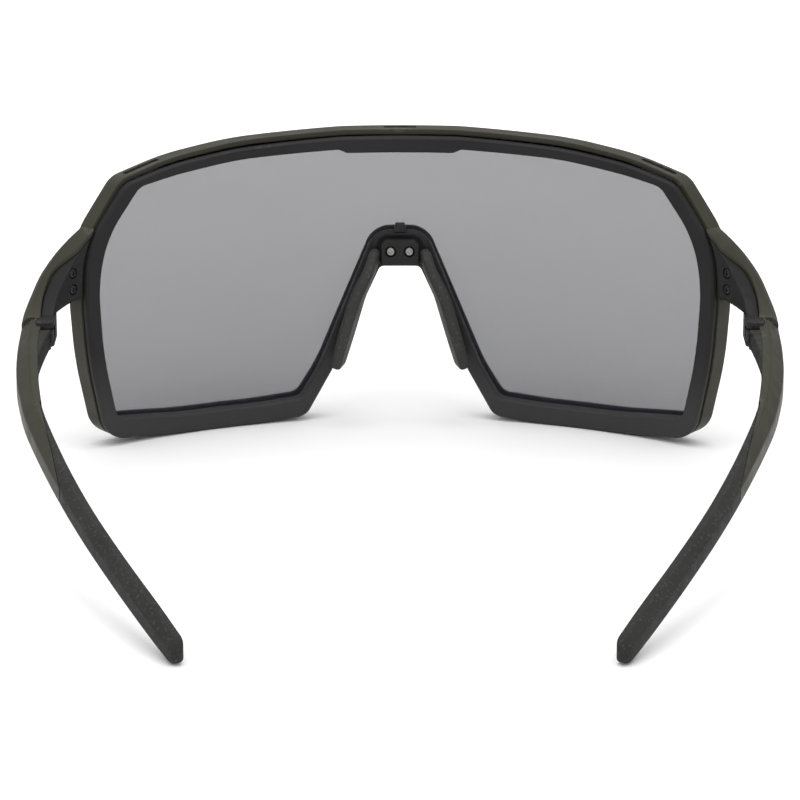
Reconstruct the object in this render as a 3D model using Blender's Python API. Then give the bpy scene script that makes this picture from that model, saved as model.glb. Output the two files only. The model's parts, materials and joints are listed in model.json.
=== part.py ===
"""Wraparound sport sunglasses with a one-piece shield lens.

The wearer looks along -Y: the lens is at -Y and the temples run back along +Y.
+Z is up and +X is the wearer's left. The glasses stand on z = 0, on the lower
edge of the rim and on the two temple tips. All sizes below are millimetres.
"""

import math

import bmesh
import bpy
from mathutils import Matrix, Vector

MM = 0.001

# Overall layout
LENGTH = 150.4
FRONT_Y = -LENGTH / 2
GAP = 0.3

# The front is wrapped round a vertical cylinder; every layer is a radius on it.
WRAP_AXIS_Y = FRONT_Y + 99.0
ARC_RADIUS = 96.0
FRONT_FACE_R = 99.0
LENS_FRONT_R = 97.3
LENS_BACK_R = 95.7
FRAME_BACK_R = 94.6
RIM_BACK_R = 92.9
FLANGE_THICKNESS = 1.4
LENS_STRIP = 6.0

# Corners of the half outline from the brow round to the nose. Each is
# (opening, outer edge of the frame, rear edge of the inner rim, arc steps),
# and each of the first three is (arc length from the centre, height, radius).
TOP_CENTRE = (56.3, 60.1, 58.9)
NOSE_CENTRE = (40.9, 32.9, 32.7)
CORNERS = (
    ((12.4, 56.3, 1.2), (12.4, 60.05, 1.2), (12.4, 58.85, 1.2), 1),
    ((14.6, 56.3, 1.2), (14.6, 60.0, 1.2), (14.6, 58.8, 1.2), 1),
    ((34.0, 55.4, 90.0), (34.0, 58.95, 90.0), (34.0, 57.65, 90.0), 2),
    ((47.5, 53.7, 60.0), (48.0, 57.0, 60.0), (48.0, 55.85, 60.0), 2),
    ((55.8, 52.3, 3.6), (59.6, 54.0, 4.6), (59.2, 53.2, 4.6), 4),
    ((63.5, 43.3, 18.0), (68.6, 42.7, 20.0), (68.2, 42.4, 20.0), 3),
    ((66.1, 34.5, 24.0), (69.9, 32.5, 40.0), (69.6, 32.5, 40.0), 2),
    ((65.2, 19.5, 60.0), (68.7, 18.0, 60.0), (68.4, 18.0, 60.0), 2),
    ((62.1, 5.8, 1.8), (65.0, 1.9, 6.0), (64.7, 1.6, 6.0), 5),
    ((46.5, 4.1, 70.0), (46.5, 0.3, 60.0), (46.5, 0.0, 60.0), 1),
    ((30.0, 4.1, 60.0), (30.0, 0.3, 40.0), (30.0, 0.0, 40.0), 1),
    ((20.9, 4.9, 2.4), (19.6, 1.2, 3.0), (19.7, 1.0, 3.0), 4),
    ((17.4, 11.4, 30.0), (14.0, 10.6, 20.0), (14.1, 10.6, 20.0), 2),
    ((6.3, 39.4, 5.5), (4.9, 31.7, 1.6), (5.0, 31.6, 1.6), 5),
)
BROW_DROP = 0.9
BROW_CORNER = 0
EDGE_STEP = 7.0
STRAIGHT_REACH = 0.4

# Shares of the way from the opening to the outer edge
LENS_EDGE = 0.50
LIP_EDGE = 0.60
WALL_INSIDE = 0.70

# Vent slots through the top of the outer frame: (centre, half length) on the arc
VENTS = ((-53.6, 3.9), (0.0, 3.3), (53.6, 3.9))
VENT_R = (96.0, 97.3)

# Tab moulded on top of the nose arch
TAB_HALF_WIDTH = 1.3
TAB_Z = (39.6, 41.7)
TAB_R = (92.4, 94.9)

# Nose bracket, its two screws, and the pads on their wire cores
BRACKET_HALF_WIDTH = 3.8
BRACKET_Z = (32.8, 38.0)
BRACKET_Y = (6.45, 8.3)
BRACKET_CORNER = 0.9
NOSE_SCREW_X = 1.87
NOSE_SCREW_Z = 35.7
NOSE_SCREW_LENGTH = 2.9
SCREW_HEAD_R = 0.85
SCREW_HEAD_H = 0.6
SCREW_SHAFT_R = 0.45
SCREW_CLEARANCE = 0.3
SCREW_SIDES = 12
PAD_PATH = (
    (5.2, 8.9, 35.4),
    (6.1, 9.9, 32.2),
    (7.7, 10.6, 27.4),
    (9.3, 11.0, 22.6),
    (10.7, 11.2, 18.0),
    (11.9, 11.2, 13.2),
)
PAD_WIDTH = (3.0, 4.6, 6.2, 6.6, 6.4, 5.6)
PAD_THICKNESS = (2.0, 2.3, 2.5, 2.5, 2.4, 2.1)
PAD_SPLAY_DEG = 14.0
WIRE_R = 0.35
WIRE_HOLE_R = 0.6
WIRE_PATH = (
    (2.5, 7.4, 33.75),
    (3.7, 7.45, 33.75),
    (5.2, 8.7, 33.3),
    (6.2, 9.8, 31.4),
    (7.7, 10.6, 27.4),
    (9.3, 11.0, 22.6),
    (10.2, 11.1, 19.6),
)
PAD_PIVOT = (3.8, 7.45, 33.75)

# End pieces, from the frame's side back to the hinge. Each station is
# (outer x, outer y, inner x, inner y, top, bottom of shell, bottom of carrier,
# where the roof starts and where the shell starts across the width), with y
# measured back from the foremost point of the lens.
END_STATIONS = (
    (62.6, 22.2, 59.6, 26.6, 45.6, 31.6, 31.6, 0.0, 0.42),
    (67.0, 26.0, 62.7, 28.8, 42.2, 30.6, 31.6, 0.0, 0.42),
    (70.2, 30.2, 65.0, 31.8, 38.5, 29.0, 31.5, 0.5, 0.52),
    (72.0, 34.0, 66.7, 34.9, 35.1, 27.2, 31.0, 0.5, 0.52),
    (73.1, 37.6, 67.3, 37.8, 32.6, 25.6, 28.8, 0.42, 0.44),
    (73.4, 41.0, 67.6, 41.0, 31.3, 24.4, 27.5, 0.34, 0.36),
)
END_ROOF = 0.9
END_CHAMFER = 0.6
END_STEPS = 4
END_SCREW_ARC = 72.0
END_SCREW_Z = (37.2, 33.9)
END_SCREW_SEAT_R = 94.4

# Hinge: vertical barrel on the inner side, two fixed lugs and one between them
HINGE_X = 68.7
HINGE_Y = 42.6
BARREL_R = 1.75
SWING_R = BARREL_R * math.sqrt(2) + GAP
PIN_R = 0.6
PIN_BORE_R = 0.66
LUG_TOP = (29.9, 31.1)
LUG_MID = (27.7, 29.6)
LUG_BOTTOM = (26.2, 27.4)
WEB_START_Y = 35.6
WEB_INSET = 0.5
WEB_BACK = 3.6
PIN_HEAD_R = 1.1
PIN_HEAD_H = 0.6

# Temples: (centre x, y, top, thickness, height) from the hinge to the tip
ARM_STATIONS = (
    (71.35, 41.3, 31.2, 4.1, 6.9),
    (71.45, 49.9, 29.3, 4.1, 6.8),
    (70.9, 59.0, 27.1, 4.2, 6.4),
    (69.7, 68.0, 24.9, 3.8, 6.0),
    (67.9, 76.6, 22.8, 3.5, 5.6),
    (62.6, 93.4, 18.8, 3.3, 5.2),
    (56.6, 109.6, 15.0, 3.2, 5.0),
    (49.9, 125.2, 11.3, 3.2, 5.0),
    (42.8, 140.3, 7.5, 3.2, 5.0),
    (38.2, 149.2, 4.54, 2.9, 4.6),
)
ARM_PIECES = 3
SECTION_POINTS = 12
SECTION_POWER = 2.7
TIP_START_Y = 99.5
SOCKET_END_Y = 134.0
TONGUE_SCALE = 0.5
SOCKET_SCALE = 0.68
INSERT_END_Y = 60.0
INSERT_TOP_DROP = 0.5
INSERT_HEIGHT = 3.4

# Material: name -> (base colour, roughness, metallic)
MATERIALS = {
    "frame_olive": ((0.085, 0.085, 0.068), 0.45, 0.0),
    "rim_black": ((0.022, 0.022, 0.023), 0.5, 0.0),
    "lens_grey": ((0.28, 0.28, 0.3), 0.08, 0.0),
    "pad_rubber": ((0.05, 0.052, 0.048), 0.7, 0.0),
    "tip_rubber": ((0.04, 0.04, 0.041), 0.75, 0.0),
    "screw_steel": ((0.6, 0.6, 0.6), 0.25, 1.0),
}


def clear_scene():
    for item in list(bpy.data.objects):
        bpy.data.objects.remove(item, do_unlink=True)


def material(name):
    found = bpy.data.materials.get(name)
    if found:
        return found
    colour, roughness, metallic = MATERIALS[name]
    made = bpy.data.materials.new(name)
    made.use_nodes = True
    shader = made.node_tree.nodes["Principled BSDF"]
    shader.inputs["Base Color"].default_value = (*colour, 1.0)
    shader.inputs["Roughness"].default_value = roughness
    shader.inputs["Metallic"].default_value = metallic
    return made


def finish_mesh(name, mesh_data, material_name, smooth_deg=35.0):
    """Turns a bmesh in millimetres into a named object in metres."""
    bmesh.ops.remove_doubles(mesh_data, verts=mesh_data.verts, dist=0.002)
    bmesh.ops.recalc_face_normals(mesh_data, faces=mesh_data.faces)
    bmesh.ops.scale(mesh_data, vec=(MM, MM, MM), verts=mesh_data.verts)
    mesh = bpy.data.meshes.new(name)
    mesh_data.to_mesh(mesh)
    mesh_data.free()
    mesh.shade_smooth()
    mesh.set_sharp_from_angle(angle=math.radians(smooth_deg))
    if material_name:
        mesh.materials.append(material(material_name))
    made = bpy.data.objects.new(name, mesh)
    bpy.context.scene.collection.objects.link(made)
    return made


def hide_cutter(cutter):
    cutter.hide_render = True
    cutter.display_type = "WIRE"


def boolean(target, cutter, operation="DIFFERENCE"):
    hide_cutter(cutter)
    modifier = target.modifiers.new(cutter.name, "BOOLEAN")
    modifier.operation = operation
    modifier.solver = "EXACT"
    modifier.object = cutter


def set_origin(item, point):
    """Moves an object's origin to a point given in millimetres."""
    place = Vector(point) * MM
    for vertex in item.data.vertices:
        vertex.co -= place
    item.location = place


def wrap(arc, height, radius):
    """A point of the curved front from its arc length, height and layer radius."""
    angle = arc / ARC_RADIUS
    return Vector((radius * math.sin(angle), WRAP_AXIS_Y - radius * math.cos(angle), height))


def fillet(before, corner, after, radius, steps):
    """Points of the arc that rounds one corner of a polygon."""
    to_before = (before - corner).normalized()
    to_after = (after - corner).normalized()
    half = to_before.angle(to_after) / 2
    room = 0.48 * min((before - corner).length, (after - corner).length)
    reach = min(radius / math.tan(half), room)
    if reach < STRAIGHT_REACH:
        start, end = corner + to_before * STRAIGHT_REACH, corner + to_after * STRAIGHT_REACH
        return [start.lerp(end, step / steps) for step in range(steps + 1)]
    radius = reach * math.tan(half)
    centre = corner + (to_before + to_after).normalized() * (radius / math.sin(half))
    first = corner + to_before * reach - centre
    last = corner + to_after * reach - centre
    turn = first.angle_signed(last)
    points = []
    for step in range(steps + 1):
        angle = -turn * step / steps
        cosine, sine = math.cos(angle), math.sin(angle)
        points.append(centre + Vector((first.x * cosine - first.y * sine,
                                       first.x * sine + first.y * cosine)))
    return points


def half_outline(column, brow_drop=0.0):
    """Half of the opening (0), the frame's edge (1) or the rear edge (2)."""
    polygon = [Vector((0.0, TOP_CENTRE[column] - brow_drop))]
    radii, steps = [], []
    for index, corner in enumerate(CORNERS):
        arc, height, radius = corner[column]
        drop = brow_drop if index == BROW_CORNER else 0.0
        polygon.append(Vector((arc, height - drop)))
        radii.append(radius)
        steps.append(corner[3])
    polygon.append(Vector((0.0, NOSE_CENTRE[column])))
    points = [polygon[0]]
    for index, (radius, count) in enumerate(zip(radii, steps), start=1):
        arc_points = fillet(*polygon[index - 1:index + 2], radius, count)
        points += straight(index - 1, points[-1], arc_points[0]) + arc_points
    return points + straight(len(radii), points[-1], polygon[-1]) + [polygon[-1]]


def straight(index, start, end):
    """Points between two corners, as many on every outline of the front."""
    corners = [Vector((0.0, TOP_CENTRE[1]))]
    corners += [Vector(corner[1][:2]) for corner in CORNERS]
    corners.append(Vector((0.0, NOSE_CENTRE[1])))
    pieces = max(1, round((corners[index + 1] - corners[index]).length / EDGE_STEP))
    return [start.lerp(end, step / pieces) for step in range(1, pieces)]


def full_outline(half):
    mirrored = [Vector((-point.x, point.y)) for point in reversed(half[1:-1])]
    return half + mirrored


def between(opening, edge, share):
    return [a.lerp(b, share) for a, b in zip(opening, edge)]


def ring(opening, edge, section):
    """A closed ring along the outlines; section is (share, radius) points."""
    mesh_data = bmesh.new()
    loops = []
    for inside, outside in zip(opening, edge):
        points = [(inside.lerp(outside, share), radius) for share, radius in section]
        loops.append([mesh_data.verts.new(wrap(p.x, p.y, radius)) for p, radius in points])
    for index, loop in enumerate(loops):
        following = loops[(index + 1) % len(loops)]
        join_loops(mesh_data, loop, following)
    return mesh_data


def join_loops(mesh_data, first, second):
    count = len(first)
    for index in range(count):
        other = (index + 1) % count
        mesh_data.faces.new((first[index], first[other], second[other], second[index]))


def plate(outline, inner_radius, outer_radius, strip=LENS_STRIP):
    """A curved sheet filling an outline, cut into strips so that it bends."""
    mesh_data = bmesh.new()
    corners = [mesh_data.verts.new((p.x, p.y, 0.0)) for p in outline]
    edges = []
    for index, corner in enumerate(corners):
        edges.append(mesh_data.edges.new((corner, corners[(index + 1) % len(corners)])))
    bmesh.ops.triangle_fill(mesh_data, use_beauty=True, edges=edges, normal=(0, 0, 1))
    reach = max(p.x for p in outline)
    count = int(reach / strip)
    for index in range(-count, count + 1):
        geometry = mesh_data.verts[:] + mesh_data.edges[:] + mesh_data.faces[:]
        bmesh.ops.bisect_plane(mesh_data, geom=geometry, dist=0.001,
                               plane_co=(index * strip, 0, 0), plane_no=(1, 0, 0))
    back = mesh_data.faces[:]
    extruded = bmesh.ops.extrude_face_region(mesh_data, geom=back, use_keep_orig=True)
    for item in extruded["geom"]:
        if isinstance(item, bmesh.types.BMVert):
            item.co.z = 1.0
    for vertex in mesh_data.verts:
        radius = inner_radius + (outer_radius - inner_radius) * vertex.co.z
        vertex.co = wrap(vertex.co.x, vertex.co.y, radius)
    return mesh_data


def loft(sections):
    """A solid through closed sections with flat ends."""
    mesh_data = bmesh.new()
    loops = [[mesh_data.verts.new(point) for point in section] for section in sections]
    for first, second in zip(loops, loops[1:]):
        join_loops(mesh_data, first, second)
    mesh_data.faces.new(loops[0])
    mesh_data.faces.new(loops[-1])
    return mesh_data


def cylinder(start, end, radius, segments=14):
    """A round bar between two points."""
    start, end = Vector(start), Vector(end)
    along = (end - start).normalized()
    side = along.orthogonal().normalized()
    other = along.cross(side)
    angles = [2 * math.pi * step / segments for step in range(segments)]
    rim = [(side * math.cos(a) + other * math.sin(a)) * radius for a in angles]
    return loft([[centre + offset for offset in rim] for centre in (start, end)])


def smooth_path(stations, step):
    """Catmull-Rom points through the stations, about one step apart."""
    stations = [Vector(station) for station in stations]
    padded = [2 * stations[0] - stations[1], *stations, 2 * stations[-1] - stations[-2]]
    points = []
    for index in range(1, len(padded) - 2):
        a, b, c, d = padded[index - 1:index + 3]
        length = (c.to_3d() - b.to_3d()).length
        pieces = max(1, round(length / step))
        for piece in range(pieces):
            t = piece / pieces
            points.append(0.5 * (2 * b + (c - a) * t + (2 * a - 5 * b + 4 * c - d) * t * t
                                 + (3 * b - a - 3 * c + d) * t ** 3))
    return points + [stations[-1]]


def back_y(distance):
    """World y of a distance measured back from the foremost point."""
    return FRONT_Y + distance


def mirrored(source):
    """The wearer's right copy of a finished left piece."""
    graph = bpy.context.evaluated_depsgraph_get()
    mesh = bpy.data.meshes.new_from_object(source.evaluated_get(graph))
    mesh.transform(Matrix.Diagonal((-1, 1, 1, 1)))
    mesh.flip_normals()
    made = bpy.data.objects.new(source.name.replace("_left", "_right"), mesh)
    bpy.context.scene.collection.objects.link(made)
    made.location = (-source.location.x, source.location.y, source.location.z)
    return made


# ---------------------------------------------------------------- the front

def outlines():
    opening = full_outline(half_outline(0))
    brow = full_outline(half_outline(0, BROW_DROP))
    edge = full_outline(half_outline(1))
    rear = full_outline(half_outline(2))
    return opening, brow, edge, rear


def make_outer_frame(opening, edge):
    front = FRONT_FACE_R
    flange_back = front - FLANGE_THICKNESS
    section = (
        (0.0, front - 0.3), (0.08, front), (0.90, front), (1.0, front - 0.5),
        (1.0, FRAME_BACK_R), (WALL_INSIDE, FRAME_BACK_R), (WALL_INSIDE, flange_back),
        (0.0, flange_back),
    )
    frame = finish_mesh("outer_frame", ring(opening, edge, section), "frame_olive")
    for index, (centre, half) in enumerate(VENTS):
        corners = []
        for radius in VENT_R:
            steps = [centre - half + half * step / 2 for step in range(5)]
            corners.append([(arc, radius) for arc in steps])
        outline = corners[0] + corners[1][::-1]
        top = 61.5 if centre == 0 else 57.6
        bottom = 58.0 if centre == 0 else 53.6
        sections = [[wrap(arc, height, radius) for arc, radius in outline]
                    for height in (bottom, top)]
        boolean(frame, finish_mesh(f"vent_cutter_{index}", loft(sections), None))
    return frame


def make_inner_rim(brow, rear):
    back = RIM_BACK_R
    flange_front = FRAME_BACK_R - GAP
    lip_front = LENS_BACK_R - GAP
    section = (
        (0.0, lip_front), (0.0, back + 0.35), (0.09, back), (0.86, back), (1.0, back + 0.6),
        (1.0, flange_front), (LIP_EDGE, flange_front), (LIP_EDGE, lip_front),
    )
    rim = finish_mesh("inner_rim", ring(brow, rear, section), "rim_black")
    tab_corners = [(-TAB_HALF_WIDTH, TAB_Z[0]), (TAB_HALF_WIDTH, TAB_Z[0]),
                   (TAB_HALF_WIDTH * 0.8, TAB_Z[1]), (-TAB_HALF_WIDTH * 0.8, TAB_Z[1])]
    sections = [[wrap(arc, height, radius) for arc, height in tab_corners] for radius in TAB_R]
    boolean(rim, finish_mesh("tab_block", loft(sections), None), "UNION")
    for side in (-1, 1):
        hole = screw_bar(side, 4.1, BRACKET_Y[0], SCREW_SHAFT_R + SCREW_CLEARANCE)
        boolean(rim, finish_mesh(f"rim_hole_cutter_{side}", hole, None))
    return rim


def make_lens(opening, edge):
    outline = between(opening, edge, LENS_EDGE)
    return finish_mesh("shield_lens", plate(outline, LENS_BACK_R, LENS_FRONT_R), "lens_grey")


# ------------------------------------------------------------ the nose parts

def screw_bar(side, start, end, radius):
    """A bar along Y on a nose screw's axis, from one distance back to another."""
    x = side * NOSE_SCREW_X
    return cylinder((x, back_y(start), NOSE_SCREW_Z), (x, back_y(end), NOSE_SCREW_Z), radius)


def make_bracket():
    low_z, high_z = BRACKET_Z
    half, cut = BRACKET_HALF_WIDTH, BRACKET_CORNER
    corners = [(-half, low_z), (half, low_z), (half, high_z - cut), (half - cut, high_z),
               (cut - half, high_z), (-half, high_z - cut)]
    front, back = (back_y(distance) for distance in BRACKET_Y)
    sections = [[Vector((x, y, z)) for x, z in corners] for y in (front, back)]
    plate_object = finish_mesh("nose_bracket", loft(sections), "rim_black")
    for side in (-1, 1):
        bore = screw_bar(side, BRACKET_Y[0] - 1, BRACKET_Y[1] + 1, SCREW_SHAFT_R + SCREW_CLEARANCE)
        boolean(plate_object, finish_mesh(f"bracket_bore_cutter_{side}", bore, None))
        recess_depth = BRACKET_Y[1] - SCREW_HEAD_H - GAP
        recess = screw_bar(side, recess_depth, BRACKET_Y[1] + 1, SCREW_HEAD_R + SCREW_CLEARANCE)
        boolean(plate_object, finish_mesh(f"bracket_recess_cutter_{side}", recess, None))
        path = [Vector((side * x, y, z)) for x, y, z in wire_path(start_back=0.4)[:4]]
        socket = tube(path, WIRE_HOLE_R)
        boolean(plate_object, finish_mesh(f"bracket_socket_cutter_{side}", socket, None))
    return plate_object


def make_screw(name, head_centre, inward, head_r, head_h, shaft_r, length):
    """A pan-head screw: head outside, shaft running inward."""
    centre, inward = Vector(head_centre), Vector(inward).normalized()
    side = inward.orthogonal().normalized()
    other = inward.cross(side)
    profile = (
        (-head_h, head_r * 0.72), (-head_h * 0.6, head_r), (0.0, head_r), (0.0, shaft_r),
        (length - shaft_r * 0.6, shaft_r), (length, shaft_r * 0.45),
    )
    sections = []
    for depth, radius in profile:
        angles = [2 * math.pi * step / SCREW_SIDES for step in range(SCREW_SIDES)]
        sections.append([centre + inward * depth
                         + (side * math.cos(a) + other * math.sin(a)) * radius for a in angles])
    return finish_mesh(name, loft(sections), "screw_steel")


def tube(points, radius, segments=8):
    """A round wire through points."""
    sections = []
    reference = Vector((0, 1, 0))
    for index, point in enumerate(points):
        before = points[max(index - 1, 0)]
        after = points[min(index + 1, len(points) - 1)]
        along = (after - before).normalized()
        side = along.cross(reference).normalized()
        other = along.cross(side)
        angles = [2 * math.pi * step / segments for step in range(segments)]
        sections.append([point + (side * math.cos(a) + other * math.sin(a)) * radius
                         for a in angles])
    return loft(sections)


def wire_path(start_back=0.0, end_on=0.0):
    """The wire's centreline, made longer at either end for its holes."""
    points = [Vector((x, back_y(y), z)) for x, y, z in WIRE_PATH]
    points[0] += (points[0] - points[1]).normalized() * start_back
    points[-1] += (points[-1] - points[-2]).normalized() * end_on
    return smooth_path(points, 1.6)


def make_pad():
    sections = []
    stations = []
    for (x, y, z), width, thick in zip(PAD_PATH, PAD_WIDTH, PAD_THICKNESS):
        stations.append((x, back_y(y), z, width, thick))
    path = smooth_path(stations, 1.7)
    splay = math.radians(PAD_SPLAY_DEG)
    wide = Vector((math.sin(splay), math.cos(splay), 0))
    count = len(path)
    for index, station in enumerate(path):
        centre = Vector(station[:3])
        along = (Vector(path[min(index + 1, count - 1)][:3])
                 - Vector(path[max(index - 1, 0)][:3])).normalized()
        thin = along.cross(wide).normalized()
        sections.append(rounded_section(centre, wide, thin, station[3] / 2, station[4] / 2,
                                        SECTION_POINTS, 2.3))
    sections = with_round_ends(sections, 0.55)
    pad = finish_mesh("nose_pad_left", loft(sections), "pad_rubber", 60)
    cutter = tube(wire_path(end_on=0.5), WIRE_HOLE_R)
    boolean(pad, finish_mesh("pad_bore_cutter_left", cutter, None))
    set_origin(pad, pad_pivot())


def pad_pivot():
    return (PAD_PIVOT[0], back_y(PAD_PIVOT[1]), PAD_PIVOT[2])


def rounded_section(centre, wide, thin, half_width, half_height, count, power):
    points = []
    for step in range(count):
        angle = 2 * math.pi * (step + 0.5) / count
        cosine, sine = math.cos(angle), math.sin(angle)
        across = math.copysign(abs(cosine) ** (2 / power), cosine) * half_width
        up = math.copysign(abs(sine) ** (2 / power), sine) * half_height
        points.append(centre + wide * across + thin * up)
    return points


def with_round_ends(sections, share, first=True, last=True):
    """Adds shrunk, pushed-out sections so that the ends of a loft are rounded."""
    def cap(end, inner):
        centre = sum(end, Vector()) / len(end)
        push = (centre - sum(inner, Vector()) / len(inner)).normalized()
        size = min((point - centre).length for point in end)
        made = []
        for scale, out in ((0.86, 0.55), (0.5, 0.9)):
            made.append([centre + (point - centre) * scale + push * size * share * out
                         for point in end])
        return made

    result = list(sections)
    if first:
        result = cap(sections[0], sections[1])[::-1] + result
    if last:
        result = result + cap(sections[-1], sections[-2])
    return result


def make_wire():
    wire = finish_mesh("nose_wire_left", tube(wire_path(), WIRE_R), "screw_steel")
    set_origin(wire, pad_pivot())


# ------------------------------------------------------- end pieces and hinge

def end_path():
    return smooth_path_of(END_STATIONS, END_STEPS)


def smooth_path_of(stations, pieces):
    """Catmull-Rom rows through plain rows of numbers, pieces per span."""
    rows = [list(station) for station in stations]
    first = [2 * a - b for a, b in zip(rows[0], rows[1])]
    last = [2 * a - b for a, b in zip(rows[-1], rows[-2])]
    padded = [first, *rows, last]
    result = []
    for index in range(1, len(padded) - 2):
        span = padded[index - 1:index + 3]
        for piece in range(pieces):
            t = piece / pieces
            result.append([catmull_rom(*values, t) for values in zip(*span)])
    return result + [rows[-1]]


def catmull_rom(a, b, c, d, t):
    return 0.5 * (2 * b + (c - a) * t + (2 * a - 5 * b + 4 * c - d) * t * t
                  + (3 * b - a - 3 * c + d) * t ** 3)


def end_sections(shape):
    """Sections of an end piece; shape gives (share across, height) per station."""
    sections = []
    for outer_x, outer_y, inner_x, inner_y, top, *rest in end_path():
        outer = Vector((outer_x, back_y(outer_y), 0))
        inner = Vector((inner_x, back_y(inner_y), 0))
        width = (outer - inner).length
        points = []
        for share, height in shape(width, top, *rest):
            place = inner.lerp(outer, share)
            points.append(Vector((place.x, place.y, height)))
        sections.append(points)
    return sections


def shell_shape(width, top, low, _, roof_start, split):
    cut = END_CHAMFER / width
    roof = top - END_ROOF
    start = max(roof_start, 0.0)
    return ((start, roof), (start, top - END_CHAMFER * 0.6), (start + cut, top),
            (1 - 2 * cut, top), (1.0, top - 2 * END_CHAMFER), (1.0, low + END_CHAMFER),
            (1 - cut, low), (split, low), (split, roof))


def carrier_shape(width, top, _, low, __, split):
    cut = END_CHAMFER / width
    roof = top - END_ROOF - GAP
    inside = split - GAP / width
    return ((0.0, roof), (inside, roof), (inside, low), (cut, low), (0.0, low + END_CHAMFER))


def hinge_point(height):
    return Vector((HINGE_X, back_y(HINGE_Y), height))


def barrel(heights, radius=BARREL_R, segments=20):
    return cylinder(hinge_point(heights[0]), hinge_point(heights[1]), radius, segments)


def end_screw_place(height, radius):
    return wrap(END_SCREW_ARC, height, radius)


def make_end_piece(envelope):
    shell = finish_mesh("end_piece_left", loft(end_sections(shell_shape)), "frame_olive", 30)
    boolean(shell, envelope)
    carrier = finish_mesh("hinge_carrier_left", loft(end_sections(carrier_shape)),
                          "rim_black", 30)
    boolean(carrier, envelope)
    knuckle = finish_mesh("fixed_knuckle_left", fixed_knuckle(), None)
    boolean(carrier, knuckle, "UNION")
    notch = finish_mesh("shell_notch_cutter_left", fixed_knuckle(GAP), None)
    boolean(shell, notch)
    bore = barrel((LUG_BOTTOM[0] - 1, LUG_TOP[1] + 1), PIN_BORE_R, 14)
    boolean(carrier, finish_mesh("pin_bore_cutter_left", bore, None))
    clearance = barrel((LUG_BOTTOM[1], LUG_TOP[0]), SWING_R, 28)
    boolean(carrier, finish_mesh("barrel_cutter_left", clearance, None))
    names = ("upper", "lower")
    for name, height in zip(names, END_SCREW_Z):
        inward = end_screw_place(height, 1.0) - end_screw_place(height, 0.0)
        for target, start, end, radius in (
            (carrier, 90.0, 99.0, SCREW_SHAFT_R + SCREW_CLEARANCE),
            (carrier, 90.0, END_SCREW_SEAT_R + GAP, SCREW_HEAD_R + SCREW_CLEARANCE),
            (shell, 93.0, 97.9, SCREW_SHAFT_R + SCREW_CLEARANCE),
        ):
            bar = cylinder(end_screw_place(height, start), end_screw_place(height, end), radius)
            cutter_name = f"end_screw_cutter_{target.name}_{name}_{end:.0f}"
            boolean(target, finish_mesh(cutter_name, bar, None))
        head = end_screw_place(height, END_SCREW_SEAT_R)
        make_screw(f"end_screw_{name}_left", head, inward, SCREW_HEAD_R,
                   SCREW_HEAD_H, SCREW_SHAFT_R, 2.9)


def fixed_knuckle(grow=0.0):
    """The barrel round the pin, on a web that runs forward into the carrier."""
    centre = hinge_point(0)
    radius = BARREL_R + grow
    points = []
    for step in range(11):
        angle = math.radians(180 * step / 10)
        points.append((centre.x + radius * math.cos(angle),
                       centre.y + radius * math.sin(angle)))
    points.append((centre.x - radius, back_y(WEB_START_Y - grow)))
    points.append((centre.x - WEB_INSET + grow, back_y(WEB_START_Y - grow)))
    points.append((centre.x - WEB_INSET + grow, back_y(HINGE_Y - BARREL_R - grow)))
    points.append((centre.x + radius, back_y(HINGE_Y - BARREL_R - grow)))
    heights = (LUG_BOTTOM[0] - grow, LUG_TOP[1] + grow)
    return loft([[Vector((x, y, z)) for x, y in points] for z in heights])


def make_pin():
    low = LUG_BOTTOM[0]
    head = hinge_point(low - GAP)
    length = LUG_TOP[1] - low + GAP
    make_screw("hinge_pin_left", head, (0, 0, 1), PIN_HEAD_R, PIN_HEAD_H, PIN_R, length)


# ------------------------------------------------------------------ temples

def arm_rows(start_y, end_y):
    """Rows of the temple's smooth path between two distances back."""
    rows = smooth_path_of(ARM_STATIONS, ARM_PIECES)
    inside = [row for row in rows if start_y + 0.8 < row[1] < end_y - 0.8]
    return [row_at(rows, start_y), *inside, row_at(rows, end_y)]


def row_at(rows, y):
    for before, after in zip(rows, rows[1:]):
        if before[1] <= y <= after[1]:
            share = (y - before[1]) / (after[1] - before[1])
            return [a + (b - a) * share for a, b in zip(before, after)]
    return rows[0] if y < rows[0][1] else rows[-1]


def arm_sections(rows, scale=1.0):
    """Rounded sections across the temple, square to its plan direction."""
    sections = []
    for index, (x, y, top, thick, tall) in enumerate(rows):
        before = rows[max(index - 1, 0)]
        after = rows[min(index + 1, len(rows) - 1)]
        along = Vector((after[0] - before[0], after[1] - before[1], 0)).normalized()
        if index == 0 and y < ARM_STATIONS[0][1] + 0.1:
            along = Vector((0, 1, 0))
        wide = Vector((along.y, -along.x, 0))
        centre = Vector((x, back_y(y), top - tall / 2))
        sections.append(rounded_section(centre, wide, Vector((0, 0, 1)), thick / 2 * scale,
                                        tall / 2 * scale, SECTION_POINTS, SECTION_POWER))
    return sections


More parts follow.
